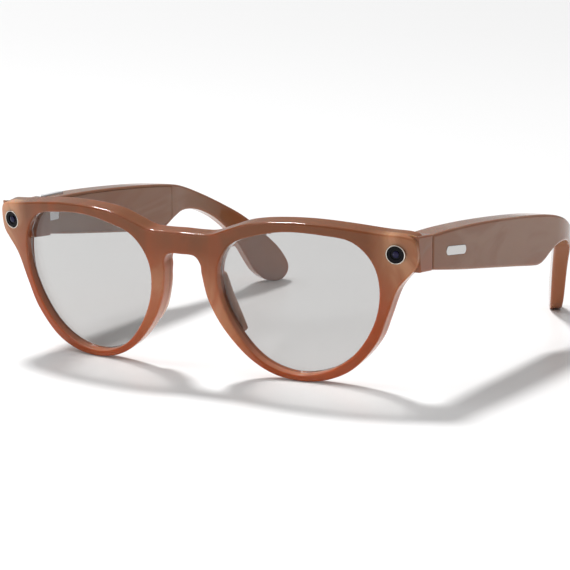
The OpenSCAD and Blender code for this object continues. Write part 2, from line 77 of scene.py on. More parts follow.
# Shape of the front in millimetres: x and height on its front face
LEAN = math.radians(9.75)
LEAN_Z = 25.0
WRAP_A, WRAP_B = 1.44e-3, 1.58e-7
FRONT_T = 5.6
SEAM_DEPTH = 3.2
HALF_OUTLINE = [
    (0, 40.5), (6, 40.4), (10.5, 40.7), (16, 42.6), (22, 44.5), (30, 45.5), (40, 45.7), (50, 45),
    (60, 43.8), (66, 43.2), (68.4, 42), (69.1, 39), (68.9, 35.8), (68.1, 33.9), (66.7, 32.3),
    (63.1, 27.8), (60, 19.9), (56.6, 12.3), (50, 4.9), (42.5, 1.1), (34.4, 0), (26, 1.4),
    (18.4, 5.8), (11.6, 13.4), (7.6, 21.2), (6.2, 28.5), (6, 31.6), (4.2, 33.9), (0, 34.1),
]
OPENING = [
    (58.5, 26.5), (57.4, 35), (52.2, 41), (43.5, 42.6), (33.6, 42.9), (25, 41.4), (16.4, 38.2),
    (11.6, 31.2), (11.6, 22.4), (15.4, 13.4), (22.4, 5.4), (31.8, 1.9), (41.6, 3.3), (50, 8.6), (56, 17.2),
]
LENS_MID = (36.5, 26)
SEAM_Y = HINGE_Y - 0.2
END_BLOCK = [(6, 33.3), (6, 43.4), (SEAM_Y, 42.7), (SEAM_Y, 32.6)]
END_BLOCK_X = 57.2
EYE_X, EYE_Z, EYE_TOE = 63.7, 38.35, math.radians(11)
BEZEL_R, WINDOW_R = 2.75, 2.42

# Side view of a temple: depth behind the front and height
TOP_EDGE = [
    (18, 42.5), (30, 42.6), (45, 42.2), (60, 41.4), (75, 40.3), (88, 39.1), (98, 37.7), (106, 35.8),
    (113, 33.4), (119, 30.9), (125.5, 27.5), (132, 23), (138.1, 17.3), (143.2, 12), (146.4, 6.7),
]
TIP_END = [(146.8, 3.5), (145.2, 0.9), (142.4, 0)]
LOW_EDGE = [
    (18, 32.7), (35, 30.3), (55, 27.8), (72, 25.7), (83, 24.3), (88, 24), (91.8, 25), (96.5, 27),
    (102, 28.5), (108.5, 28.4), (114.4, 27), (120, 24.3), (124.5, 20.6), (127.8, 16.6), (130.4, 12.4),
    (132.7, 8.1), (135.2, 4), (138.6, 1),
]
TEMPLE_X, TEMPLE_T, TEMPLE_Y = 69.188, 7.7, 18.1
BEND_Y, BEND_R, BEND = 99.0, 51.0, math.radians(30.6)
SPLAY = math.radians(1.3)
BEND_S = BEND_Y - TEMPLE_Y
BEND_END_S = BEND_S + BEND_R * BEND
TIP_S = BEND_END_S + 27
THICKNESS = [(0, TEMPLE_T), (BEND_S, 6.6), (BEND_END_S, 5.1), (TIP_S, 3.4)]
RIM_DEPTH = [(-3, 4.7), (5, 5.6), (12.5, 5.6), (16, 6.27)]
INLAY_AT, INLAY_SIZE, INLAY_DEPTH = (32, 36.4), (12, 2.6), 0.4
SLOPE = math.radians(-5.4)

# Openings in a temple: inner cover, bays (start, distance from the inner face, depth), slots and ports
COVER_Y0, COVER_Y1, COVER_INSET, COVER_T = 29, 94.5, 0.8, 1.2
BAYS, BAY_END, BAY_INSET = ((31, 1.0, 2.4), (22.5, 3.0, 3.2)), 93, 1.6
SLOT_Y, SLOT_PITCH, SLOT_COUNT = 79.1, 2.4, 4
MIC_Y, MIC_IN, MIC_R = 31.5, 4.5, 0.45
BUTTON_X, BUTTON_Y = 66.15, 29
SWITCH_AT, SWITCH_SLOT = (35.4, 36.6), (5.0, 2.2)
STATUS_AT, STATUS_R = (33, 38.6), 0.64


# ---------- sums shared by the pieces ----------

def blend_point(a, b, c, d, t):
    """Point at t between b and c on a smooth curve through a, b, c and d."""
    return tuple(
        0.5 * (2 * q + (r - p) * t + (2 * p - 5 * q + 4 * r - s) * t * t + (3 * q - p - 3 * r + s) * t**3)
        for p, q, r, s in zip(a, b, c, d)
    )


def closed_curve(points, steps):
    n = len(points)
    return [
        blend_point(points[i - 1], points[i], points[(i + 1) % n], points[(i + 2) % n], k / steps)
        for i in range(n) for k in range(steps)
    ]


def open_curve(points, steps):
    n = len(points)
    found = [
        blend_point(points[max(i - 1, 0)], points[i], points[i + 1], points[min(i + 2, n - 1)], k / steps)
        for i in range(n - 1) for k in range(steps)
    ]
    return found + [points[-1]]


def between(x, table):
    """Straight-line reading of a table of pairs."""
    if x <= table[0][0]:
        return table[0][1]
    for (x0, y0), (x1, y1) in zip(table, table[1:]):
        if x <= x1:
            return y0 + (y1 - y0) * (x - x0) / (x1 - x0)
    return table[-1][1]


def sag(x):
    return WRAP_A * x * x + WRAP_B * x**4


def leaning(p):
    """Height up the leaning front of a point given as x and true height."""
    return p[0], (p[1] - LEAN_Z) / math.cos(LEAN) - sag(p[0]) * math.tan(LEAN)


def front_place(u, v, depth):
    """Row-frame point, in metres, at u, v on the front and depth behind its face."""
    w = sag(u) * math.cos(LEAN) + depth
    y = w * math.cos(LEAN) - v * math.sin(LEAN) - DEPTH_MID
    z = LEAN_Z + w * math.sin(LEAN) + v * math.cos(LEAN)
    return Vector((u, y, z)) * MM


def heading(s):
    return min(max(s - BEND_S, 0) / BEND_R, BEND)


def temple_place(y, z, inward):
    """Row-frame point at y, z on the left temple's outer face and inward of it."""
    end_y = BEND_Y + BEND_R * math.sin(BEND)
    if y < BEND_Y:
        s, x = y - TEMPLE_Y, TEMPLE_X
    elif y < end_y:
        turn = math.asin((y - BEND_Y) / BEND_R)
        s, x = BEND_S + BEND_R * turn, TEMPLE_X - BEND_R * (1 - math.cos(turn))
    else:
        s = BEND_END_S + (y - end_y) / math.cos(BEND)
        x = TEMPLE_X - BEND_R * (1 - math.cos(BEND)) - (y - end_y) * math.tan(BEND)
    d = inward * between(s, THICKNESS) / TEMPLE_T
    turned = heading(s)
    return OPEN_TEMPLE @ (Vector((x - d * math.cos(turned), y - d * math.sin(turned) - DEPTH_MID, z)) * MM)


# An open temple stands out a little, turned about its hinge
HINGE_AT = Matrix.Translation((HINGE_X * MM, FOLD[1], 0))
OPEN_TEMPLE = HINGE_AT @ Matrix.Rotation(-SPLAY, 4, "Z") @ HINGE_AT.inverted()


# ---------- modelling steps ----------

def only(obj):
    """Selects one object and nothing else."""
    bpy.ops.object.select_all(action="DESELECT")
    obj.select_set(True)
    bpy.context.view_layer.objects.active = obj
    return obj


def edit(obj, pick=True):
    only(obj)
    bpy.ops.object.mode_set(mode="EDIT")
    bpy.ops.mesh.select_mode(type="VERT")
    bpy.ops.mesh.select_all(action="SELECT" if pick else "DESELECT")


def done():
    bpy.ops.object.mode_set(mode="OBJECT")


def loop_mesh(points):
    """A ring of edges through the points."""
    bpy.ops.object.select_all(action="DESELECT")
    bpy.ops.mesh.primitive_circle_add(vertices=len(points), radius=1, fill_type="NOTHING")
    ring = bpy.context.object
    for vertex, point in zip(ring.data.vertices, points):
        vertex.co = (point[0], point[1], 0)
    return ring


def plate(name, loops, depth, rounding, steps=4):
    """A flat plate of that outline with rounded edges, its faces at z = 0 and z = depth."""
    rings = [loop_mesh(points) for points in loops]
    only(rings[0])
    for ring in rings[1:]:
        ring.select_set(True)
    if len(rings) > 1:
        bpy.ops.object.join()
    bpy.ops.object.convert(target="CURVE")
    piece = bpy.context.object
    piece.data.dimensions = "2D"
    piece.data.fill_mode = "BOTH"
    piece.data.extrude = depth / 2 - rounding
    piece.data.bevel_depth = rounding
    piece.data.bevel_resolution = steps
    piece.data.offset = -rounding
    only(piece)
    bpy.ops.object.convert(target="MESH")
    piece = bpy.context.object
    piece.name = piece.data.name = name
    edit(piece)
    bpy.ops.mesh.remove_doubles(threshold=1e-4)
    bpy.ops.transform.translate(value=(0, 0, depth / 2))
    bpy.ops.mesh.normals_make_consistent(inside=False)
    done()
    return piece


def slice_at(piece, places, axis):
    """Cuts new edges across a piece at each place along an axis, so that it can bend."""
    normal = Vector((0, 0, 0))
    normal[axis] = 1
    for place in places:
        edit(piece)
        bpy.ops.mesh.bisect(plane_co=normal * place, plane_no=normal)
        done()


def combine(piece, tool, operation):
    """Cuts the tool out of a piece, or joins it on, and removes the tool."""
    only(piece)
    step = piece.modifiers.new("combine", "BOOLEAN")
    step.operation = operation
    step.solver = "EXACT"
    step.object = tool
    bpy.ops.object.modifier_apply(modifier=step.name)
    bpy.data.objects.remove(tool)
    return piece


def place(piece, where):
    """Moves every point of a flat piece to where(x, y, z) puts it, and marks which lie on its edges."""
    mesh = piece.data
    # The edge mark, how far each point faces sideways while the piece is still flat, is the mask of the
    # painted glow along the caramel's low edges.
    edge = mesh.attributes.get("edge") or mesh.attributes.new("edge", "FLOAT", "POINT")
    sides = [1 - abs(vertex.normal.z) for vertex in mesh.vertices]
    for vertex, mark, amount in zip(mesh.vertices, edge.data, sides):
        mark.value = amount
        vertex.co = where(*vertex.co)
    mesh.update()
    return piece


def mirrored(piece, side):
    """The piece as it is for the left, and turned over for the right."""
    if side < 0:
        piece.data.transform(Matrix.Scale(-1, 4, (1, 0, 0)))
        edit(piece)
        bpy.ops.mesh.flip_normals()
        done()
    return piece


def polish(piece, angle=32):
    """Smooth shading with crisp edges past the angle, weighted to the large faces."""
    only(piece)
    bpy.ops.object.shade_smooth_by_angle(angle=math.radians(angle))
    step = piece.modifiers.new("weight", "WEIGHTED_NORMAL")
    step.keep_sharp = True
    step.weight = 80
    bpy.ops.object.modifier_apply(modifier=step.name)
    return piece


def finish_piece(piece, body, slot, material, *nodes):
    """Paints a piece, puts it on its body and hides the CAD nodes that it stands for."""
    piece.data.materials.clear()
    piece.data.materials.append(material)
    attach(piece, body)
    if nodes:
        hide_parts(*nodes)
    return piece


def cylinder(radius, z0, z1, segments=48):
    bpy.ops.object.select_all(action="DESELECT")
    bpy.ops.mesh.primitive_cylinder_add(
        vertices=segments, radius=radius, depth=z1 - z0, location=(0, 0, (z0 + z1) / 2)
    )
    bpy.ops.object.transform_apply(location=True, rotation=False, scale=False)
    return bpy.context.object


def block(size, at):
    bpy.ops.object.select_all(action="DESELECT")
    bpy.ops.mesh.primitive_cube_add(size=1, location=at, scale=size)
    bpy.ops.object.transform_apply(location=True, rotation=False, scale=True)
    return bpy.context.object


# ---------- materials ----------

def new_group(name, inputs, outputs):
    """An empty shader group with sockets given as (name, type, default)."""
    group = bpy.data.node_groups.new(name, "ShaderNodeTree")
    for title, kind, value in inputs:
        socket = group.interface.new_socket(title, in_out="INPUT", socket_type=kind)
        socket.default_value = value
    for title, kind in outputs:
        group.interface.new_socket(title, in_out="OUTPUT", socket_type=kind)
    return group, group.nodes.new("NodeGroupInput"), group.nodes.new("NodeGroupOutput")


def fill(group, sockets, values):
    """Sets each socket to its number, or links it to its source."""
    for socket, value in zip(sockets, values):
        if isinstance(value, (int, float)):
            socket.default_value = value
        else:
            group.links.new(value, socket)


def maths(group, operation, *values, clamp=False):
    """Result of a maths node; each value is a number or a socket."""
    node = group.nodes.new("ShaderNodeMath")
    node.operation = operation
    node.use_clamp = clamp
    fill(group, node.inputs, values)
    return node.outputs[0]


def smooth_step(group, value, low, high, start=0.0, end=1.0):
    """Eases from start to end as the value goes from low to high."""
    node = group.nodes.new("ShaderNodeMapRange")
    node.interpolation_type = "SMOOTHSTEP"
    fill(group, node.inputs, (value, low, high, start, end))
    return node.outputs["Result"]


def blend(group, factor, first, second):
    """Colour between two colours."""
    node = group.nodes.new("ShaderNodeMix")
    node.data_type = "RGBA"
    fill(group, (node.inputs["Factor"], node.inputs[6], node.inputs[7]), (factor, first, second))
    return node.outputs[2]


def stretched_noise(group, scale, detail, stretch=(1, 1, 1), distortion=0.0):
    """Noise in the object's own coordinates, drawn out along the axes with a small stretch."""
    coords = group.nodes.new("ShaderNodeTexCoord")
    drawn = group.nodes.new("ShaderNodeMapping")
    drawn.inputs["Scale"].default_value = stretch
    noise = group.nodes.new("ShaderNodeTexNoise")
    noise.inputs["Detail"].default_value = detail
    noise.inputs["Distortion"].default_value = distortion
    group.links.new(coords.outputs["Object"], drawn.inputs["Vector"])
    fill(group, (noise.inputs["Vector"], noise.inputs["Scale"]), (drawn.outputs["Vector"], scale))
    return noise.outputs["Fac"]


def polish_group():
    """Rubbed gloss: faint smears in the roughness and hairline marks in the surface."""
    group, given, result = new_group(
        "rubbed_gloss",
        [
            ("Gloss", "NodeSocketFloat", 0.1),
            ("Smear", "NodeSocketFloat", 0.05),
            ("Scale", "NodeSocketFloat", 120),
        ],
        [("Roughness", "NodeSocketFloat"), ("Height", "NodeSocketFloat")],
    )
    smear = stretched_noise(group, given.outputs["Scale"], 4)
    hairs = stretched_noise(group, 900, 2, (9, 1.2, 9))
    rough = maths(group, "MULTIPLY_ADD", smear, given.outputs["Smear"], given.outputs["Gloss"])
    group.links.new(rough, result.inputs["Roughness"])
    group.links.new(hairs, result.inputs["Height"])
    return group


def tone_and_glow_group():
    """Colour of cast caramel plastic: warm low down, cooler and clouded higher up. The Corner colour is
    mixed in, clouded, at the upper outer corners and low down near the nose: on the front shell it is a
    painted glow, lighter round the camera and light windows at the corners, and it also makes the rims
    lighter near the nose; on the rear shell and the temples it is the temples' side colour. The Edge colour
    is a painted glow along the edges low down; on the temples it is the tip colour.
    """
    group, given, result = new_group(
        "cast_colour_and_glow",
        [
            ("Warm", "NodeSocketColor", (0.4, 0.12, 0.04, 1)),
            ("Cool", "NodeSocketColor", (0.2, 0.09, 0.06, 1)),
            ("Corner", "NodeSocketColor", (0.4, 0.2, 0.1, 1)),
            ("Edge", "NodeSocketColor", (0.4, 0.12, 0.04, 1)),
            ("Low", "NodeSocketFloat", 0.0),
            ("High", "NodeSocketFloat", 0.045),
            ("Cloud", "NodeSocketFloat", 0.25),
        ],
        [("Color", "NodeSocketColor")],
    )
    coords = group.nodes.new("ShaderNodeTexCoord")
    split = group.nodes.new("ShaderNodeSeparateXYZ")
    edge = group.nodes.new("ShaderNodeAttribute")
    edge.attribute_name = "edge"
    group.links.new(coords.outputs["Object"], split.inputs[0])
    swirl = stretched_noise(group, 55, 3, (1.3, 0.4, 0.9), 1.6)
    outward = maths(group, "ABSOLUTE", split.outputs["X"])

    height = smooth_step(group, split.outputs["Z"], given.outputs["Low"], given.outputs["High"])
    centred = maths(group, "SUBTRACT", swirl, 0.5)
    clouded = maths(group, "MULTIPLY_ADD", centred, given.outputs["Cloud"], height, clamp=True)
    # Painted glow: the front's upper outer corners, round the camera and light windows, take the lighter
    # Corner colour.
    outer = maths(group, "MULTIPLY", smooth_step(group, outward, 0.056, 0.0645), height)
    # The rims low down near the nose take the Corner colour as well, so they come out lighter.
    by_nose = smooth_step(group, outward, 0.009, 0.024, 0.75, 0.0)
    low_nose = maths(group, "SUBTRACT", by_nose, height, clamp=True)
    veil = smooth_step(group, swirl, 0.36, 0.62, 0.35)
    corner_glow_and_nose_tone = maths(group, "MULTIPLY", maths(group, "MAXIMUM", outer, low_nose), veil)
    # Painted glow: a lighter colour along the sideways-facing edges low down, taken from the edge mark.
    edges = smooth_step(group, edge.outputs["Fac"], 0.12, 0.8)
    low_edge_glow = maths(group, "SUBTRACT", edges, height, clamp=True)

    colour = blend(group, clouded, given.outputs["Warm"], given.outputs["Cool"])
    colour = blend(group, corner_glow_and_nose_tone, colour, given.outputs["Corner"])
    colour = blend(group, low_edge_glow, colour, given.outputs["Edge"])
    group.links.new(colour, result.inputs["Color"])
    return group


def brush_group():
    """Fine parallel grain of worked metal, drawn out along one direction."""
    group, given, result = new_group(
        "drawn_grain",
        [
            ("Along", "NodeSocketVector", (1, 1, 1)),
            ("Base", "NodeSocketFloat", 0.25),
            ("Spread", "NodeSocketFloat", 0.2),
        ],
        [("Roughness", "NodeSocketFloat"), ("Height", "NodeSocketFloat")],
    )
    coords = group.nodes.new("ShaderNodeTexCoord")
    stretch = group.nodes.new("ShaderNodeVectorMath")
    stretch.operation = "MULTIPLY"
    grain = group.nodes.new("ShaderNodeTexNoise")
    grain.inputs["Scale"].default_value = 2600
    grain.inputs["Detail"].default_value = 3
    fill(group, stretch.inputs, (coords.outputs["Object"], given.outputs["Along"]))
    group.links.new(stretch.outputs["Vector"], grain.inputs["Vector"])
    rough = maths(
        group, "MULTIPLY_ADD", grain.outputs["Fac"], given.outputs["Spread"], given.outputs["Base"]
    )
    group.links.new(rough, result.inputs["Roughness"])
    group.links.new(grain.outputs["Fac"], result.inputs["Height"])
    return group


def shared(name, builder):
    return bpy.data.node_groups.get(name) or builder()


def start_material(name):
    """A material with one Principled shader, cleared of everything else."""
    material = bpy.data.materials.new(name)
    material.use_nodes = True
    nodes = material.node_tree.nodes
    nodes.clear()
    shader = nodes.new("ShaderNodeBsdfPrincipled")
    output = nodes.new("ShaderNodeOutputMaterial")
    material.node_tree.links.new(shader.outputs[0], output.inputs["Surface"])
    return material, shader


def use_group(material, group, **values):
    node = material.node_tree.nodes.new("ShaderNodeGroup")
    node.node_tree = group
    for title, value in values.items():
        node.inputs[title].default_value = value
    return node


def bump(material, shader, height, strength, distance):
    node = material.node_tree.nodes.new("ShaderNodeBump")
    node.inputs["Strength"].default_value = strength
    node.inputs["Distance"].default_value = distance
    material.node_tree.links.new(height, node.inputs["Height"])
    material.node_tree.links.new(node.outputs["Normal"], shader.inputs["Normal"])


def caramel(name, colours, low, high):
    """Polished cast plastic that scatters light under its surface."""
    material, shader = start_material(name)
    links = material.node_tree.links
    warm, cool, corner, edge = ((*colour, 1) for colour in colours)
    # The Edge colour is a painted glow on the front and rear shells, and the Corner colour a painted glow
    # on the front shell; elsewhere they carry the temple and tip colours.
    colour = use_group(
        material, shared("cast_colour_and_glow", tone_and_glow_group),
        Warm=warm, Cool=cool, Corner=corner, Edge=edge, Low=low, High=high, Cloud=1.0,
    )
    gloss = use_group(material, shared("rubbed_gloss", polish_group), Gloss=0.04, Smear=0.07, Scale=90)
    links.new(colour.outputs["Color"], shader.inputs["Base Color"])
    links.new(gloss.outputs["Roughness"], shader.inputs["Roughness"])
    bump(material, shader, gloss.outputs["Height"], 0.03, 0.00002)
    shader.inputs["IOR"].default_value = 1.5
    shader.inputs["Specular IOR Level"].default_value = 0.3
    shader.inputs["Subsurface Weight"].default_value = 0.35
    shader.inputs["Subsurface Radius"].default_value = (1.0, 0.35, 0.15)
    shader.inputs["Subsurface Scale"].default_value = 0.004
    return material


def metal(name, colour, along, base, spread):
    """Metal with a drawn grain."""
    material, shader = start_material(name)
    links = material.node_tree.links
    grain = use_group(material, shared("drawn_grain", brush_group), Along=along, Base=base, Spread=spread)
    shader.inputs["Base Color"].default_value = (*colour, 1)
    shader.inputs["Metallic"].default_value = 1
    links.new(grain.outputs["Roughness"], shader.inputs["Roughness"])
    bump(material, shader, grain.outputs["Height"], 0.12, 0.00001)
    return material


def plain_plastic(name, colour, gloss, smear=0.12):
    """Moulded plastic or board with slight smears."""
    material, shader = start_material(name)
    links = material.node_tree.links
    rub = use_group(material, shared("rubbed_gloss", polish_group), Gloss=gloss, Smear=smear, Scale=400)
    shader.inputs["Base Color"].default_value = (*colour, 1)
    links.new(rub.outputs["Roughness"], shader.inputs["Roughness"])
    bump(material, shader, rub.outputs["Height"], 0.15, 0.00002)
    return material


def lens_glass(name, tint):
    """Clear tinted lens that lets lamps through to what is behind it."""
    material, shader = start_material(name)
    nodes, links = material.node_tree.nodes, material.node_tree.links
    shader.inputs["Base Color"].default_value = (*tint, 1)
    shader.inputs["Roughness"].default_value = 0
    shader.inputs["IOR"].default_value = 1.5
    shader.inputs["Transmission Weight"].default_value = 1
    clear = nodes.new("ShaderNodeBsdfTransparent")
    clear.inputs["Color"].default_value = (*tint, 1)
    path = nodes.new("ShaderNodeLightPath")
    mix = nodes.new("ShaderNodeMixShader")
    output = next(n for n in nodes if n.type == "OUTPUT_MATERIAL")
    links.new(path.outputs["Is Shadow Ray"], mix.inputs[0])
    links.new(shader.outputs[0], mix.inputs[1])
    links.new(clear.outputs[0], mix.inputs[2])
    links.new(mix.outputs[0], output.inputs["Surface"])
    return material


def material(name):
    """The named finish, made the first time it is asked for."""
    title = name + "_finish"
    found = bpy.data.materials.get(title)
    if found:
        return found
    looks = bpy.context.scene.glasses_colours
    makers = {
        # The front's corner and edge colours are painted glow.
        "caramel_front": lambda: caramel(
            title, (looks.warm, looks.cool, looks.corner, looks.edge), 0.014, 0.046
        ),
        "caramel_rear": lambda: caramel(
            title, (looks.warm, looks.cool, looks.temple, looks.edge), 0.014, 0.046
        ),
        "caramel_back": lambda: caramel(
            title, (looks.tip, looks.cool, looks.temple, looks.tip), 0.004, 0.036
        ),
        "tinted_lens": lambda: lens_glass(title, looks.tint),
        "milky_pad": lambda: pad_material(title),
        "bright_ring": lambda: metal(title, (0.58, 0.57, 0.56), (1, 1, 1), 0.1, 0.1),
        "window_ring": lambda: metal(title, (0.62, 0.56, 0.5), (1, 1, 1), 0.1, 0.08),
        "satin_steel": lambda: metal(title, (0.6, 0.6, 0.61), (1, 1, 0.05), 0.22, 0.22),
        "satin_button": lambda: metal(title, (0.55, 0.55, 0.56), (1, 0.05, 1), 0.25, 0.2),
        "plated_gold": lambda: metal(title, (0.85, 0.62, 0.26), (1, 1, 1), 0.12, 0.1),
        "black_window": lambda: dark_glass(title),
        "coat_sheen_glass": lambda: coat_sheen_material(title),
        "black_part": lambda: plain_plastic(title, (0.02, 0.02, 0.022), 0.35),
        "amber_film": lambda: plain_plastic(title, (0.42, 0.16, 0.03), 0.25),
        "green_board": lambda: plain_plastic(title, (0.02, 0.1, 0.05), 0.3),
        "foil_pouch": lambda: metal(title, (0.35, 0.37, 0.42), (1, 0.1, 1), 0.3, 0.2),
        "dark_mesh": lambda: mesh_material(title),
        "milky_light": lambda: plain_plastic(title, (0.8, 0.8, 0.76), 0.3),
    }
    return makers[name]()


def pad_material(name):
    """Milky moulded pad."""
    material, shader = start_material(name)
    links = material.node_tree.links
    rub = use_group(material, shared("rubbed_gloss", polish_group), Gloss=0.18, Smear=0.15, Scale=200)
    shader.inputs["Base Color"].default_value = (0.6, 0.36, 0.26, 1)
    shader.inputs["Subsurface Weight"].default_value = 0.5
    shader.inputs["Subsurface Radius"].default_value = (1, 0.7, 0.5)
    shader.inputs["Subsurface Scale"].default_value = 0.003
    links.new(rub.outputs["Roughness"], shader.inputs["Roughness"])
    bump(material, shader, rub.outputs["Height"], 0.1, 0.00002)
    return material


def dark_glass(name):
    """Near-black window glass with little shine."""
    material, shader = start_material(name)
    links = material.node_tree.links
    rub = use_group(material, shared("rubbed_gloss", polish_group), Gloss=0.02, Smear=0.03, Scale=400)
    shader.inputs["Base Color"].default_value = (0.002, 0.002, 0.004, 1)
    shader.inputs["Specular IOR Level"].default_value = 0.12
    links.new(rub.outputs["Roughness"], shader.inputs["Roughness"])
    return material


def coat_sheen_material(name):
    """Violet anti-reflection coat of a small lens, painted into its colour as a violet sheen, darker
    towards its rim where the surface turns away from the view.
    """
    material, shader = start_material(name)
    links = material.node_tree.links
    # Painted sheen: the base colour follows the angle to the view, violet where the lens faces it and bluer
    # towards its rim.
    facing = material.node_tree.nodes.new("ShaderNodeLayerWeight")
    facing.inputs["Blend"].default_value = 0.5
    ramp = material.node_tree.nodes.new("ShaderNodeValToRGB")
    ramp.color_ramp.elements[0].color = (0.012, 0.008, 0.045, 1)
    ramp.color_ramp.elements[1].color = (0.004, 0.012, 0.04, 1)
    links.new(facing.outputs["Facing"], ramp.inputs["Fac"])
    links.new(ramp.outputs["Color"], shader.inputs["Base Color"])
    shader.inputs["Roughness"].default_value = 0.02
    shader.inputs["Specular IOR Level"].default_value = 0.25
    return material


def mesh_material(name):
    """Fine woven acoustic mesh."""
    material, shader = start_material(name)
    nodes, links = material.node_tree.nodes, material.node_tree.links
    coords = nodes.new("ShaderNodeTexCoord")
    weave = nodes.new("ShaderNodeTexVoronoi")
    weave.inputs["Scale"].default_value = 4000
    ramp = nodes.new("ShaderNodeValToRGB")
    ramp.color_ramp.elements[0].color = (0.06, 0.06, 0.065, 1)
    ramp.color_ramp.elements[1].color = (0.01, 0.01, 0.01, 1)
    links.new(coords.outputs["Object"], weave.inputs["Vector"])
    links.new(weave.outputs["Distance"], ramp.inputs["Fac"])
    links.new(ramp.outputs["Color"], shader.inputs["Base Color"])
    shader.inputs["Roughness"].default_value = 0.6
    return material


# ---------- settings ----------

class GLASSES_PG_front(bpy.types.PropertyGroup):
    """Sizes of the front's rounded edges and parts."""

    edge: FloatProperty(
        name="Edge rounding", description="Radius of the front's polished edges",
        default=0.6 * MM, min=0.4 * MM, max=1.3 * MM, unit="LENGTH",
    )
    bezel_proud: FloatProperty(
        name="Ring height", description="How far the bright rings stand out of the front",
        default=0.45 * MM, min=0.1 * MM, max=0.5 * MM, unit="LENGTH",
    )


class GLASSES_PG_temple(bpy.types.PropertyGroup):
    """Sizes of the temples' rounded edges and of the seam round the inner cover."""

    edge: FloatProperty(
        name="Edge rounding", description="Radius of the temples' polished edges",
        default=0.8 * MM, min=0.5 * MM, max=1.7 * MM, unit="LENGTH",
    )
    seam: FloatProperty(
        name="Cover seam", description="Gap round the inner cover",
        default=0.08 * MM, min=0.02 * MM, max=0.15 * MM, unit="LENGTH",
    )


class GLASSES_PG_colours(bpy.types.PropertyGroup):
    """Colours of the cast plastic, of the glow painted on it, and of the lenses."""

    warm: FloatVectorProperty(
        name="Warm caramel", description="Colour of the rims low down",
        default=(0.38, 0.077, 0.018), min=0, max=1, subtype="COLOR",
    )
    cool: FloatVectorProperty(
        name="Cool caramel", description="Colour of the front where it is high and thick",
        default=(0.2, 0.066, 0.022), min=0, max=1, subtype="COLOR",
    )
    # Painted glow: a lighter orange laid along the rims' edges low down.
    edge: FloatVectorProperty(
        name="Edge caramel", description="Colour of the edges of the rims low down",
        default=(0.46, 0.18, 0.1), min=0, max=1, subtype="COLOR",
    )
    # Painted glow: a lighter colour laid on the front's upper outer corners, round the camera and light
    # windows; it also lightens the rims near the nose.
    corner: FloatVectorProperty(
        name="Corner caramel", description="Colour of the front's upper outer corners",
        default=(0.6, 0.3, 0.16), min=0, max=1, subtype="COLOR",
    )
    temple: FloatVectorProperty(
        name="Temple caramel", description="Colour of the temples' sides",
        default=(0.27, 0.14, 0.085), min=0, max=1, subtype="COLOR",
    )
    tip: FloatVectorProperty(
        name="Tip caramel", description="Colour of the temples' tips",
        default=(0.3, 0.11, 0.05), min=0, max=1, subtype="COLOR",
    )
    tint: FloatVectorProperty(
        name="Lens tint", description="Colour that the lenses let through",
        default=(0.545, 0.54, 0.535), min=0, max=1, subtype="COLOR",
    )


class GLASSES_PG_stage(bpy.types.PropertyGroup):
    """Place and lens of the camera."""

    azimuth: FloatProperty(
        name="Azimuth", description="Turn of the camera to the wearer's left of straight ahead",
        default=math.radians(29.84), subtype="ANGLE",
    )
    elevation: FloatProperty(
        name="Elevation", description="Height of the camera as an angle above the middle",
        default=math.radians(10.32), subtype="ANGLE",
    )
    distance: FloatProperty(
        name="Distance", description="Distance of the camera from the point that it looks at",
        default=664.6 * MM, unit="LENGTH",
    )
    focal: FloatProperty(
        name="Focal length", description="Focal length of the camera in millimetres",
        default=142.4, subtype="DISTANCE_CAMERA",
    )


# ---------- pieces ----------

def curve_steps(low, high, step):
    count = int(round((high - low) / step))
    return [low + (high - low) * k / count for k in range(1, count)]


def front_outline():
    half = open_curve(HALF_OUTLINE, 8)
    right = [leaning(p) for p in half]
    left = [leaning((-p[0], p[1])) for p in half[-2:0:-1]]
    return right + left


def lens_outline(side, grow=0.0, steps=8):
    points = []
    for x, z in closed_curve(OPENING, steps):
        dx, dz = x - LENS_MID[0], z - LENS_MID[1]
        stretch = 1 + grow / math.hypot(dx, dz)
        points.append(leaning((side * (LENS_MID[0] + dx * stretch), LENS_MID[1] + dz * stretch)))
    return points


def rim_depth(u, v):
    """Depth of the front at a point: slim round the lenses' lower half and deep along the brow."""
    brow = min(max((abs(u) - 8) / 12, 0), 1)
    slim = between(v, RIM_DEPTH)
    return slim if slim < FRONT_T else FRONT_T + (slim - FRONT_T) * brow


def bend_front(piece, depth0=0.0, shaped=False):
    """Turns a flat plate up onto the leaning, wrapped front. Its z = 0 face becomes the back."""

    def where(u, v, z):
        depth = depth0 - z
        if shaped and depth > SEAM_DEPTH:
            share = (depth - SEAM_DEPTH) / (FRONT_T - SEAM_DEPTH)
            depth = SEAM_DEPTH + share * (rim_depth(u, v) - SEAM_DEPTH)
        return front_place(u, v, depth)

    return place(piece, where)


